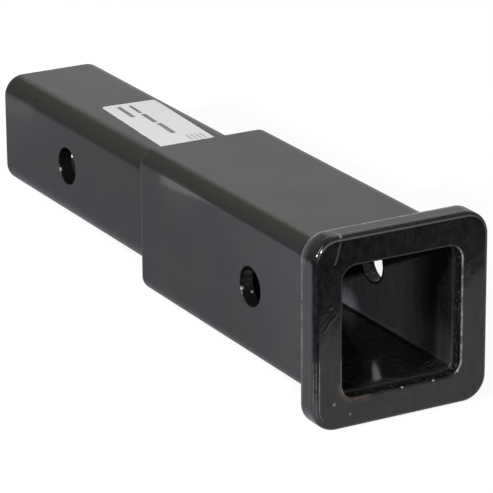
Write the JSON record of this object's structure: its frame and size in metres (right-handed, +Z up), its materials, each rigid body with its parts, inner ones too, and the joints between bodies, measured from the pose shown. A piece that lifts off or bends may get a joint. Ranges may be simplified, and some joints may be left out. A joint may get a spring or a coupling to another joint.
{
  "type": "hitch receiver extender",
  "caption": "Square steel shank welded into a wider square tube with a thick collar round its mouth, both cross-drilled for a hitch pin, to carry a hitch further out.",
  "frame": {"origin": "middle of the shank's pin hole, on the axis that both tubes share", "axes": "+X along the tubes towards the mouth, +Y along the pin holes, +Z up, with the label on top"},
  "size_m": [0.3065, 0.0798, 0.0798],
  "materials": {
    "tube_paint": "satin black powder coat",
    "collar_paint": "glossier black paint over a cast face",
    "label_film": "pale printed sticker"
  },
  "bodies": {
    "root": {"shank_tube": "tube_paint", "receiver_tube": "tube_paint", "mouth_collar": "collar_paint", "rear_weld": "tube_paint", "collar_weld": "tube_paint", "label": "label_film"}
  },
  "joints": []
}
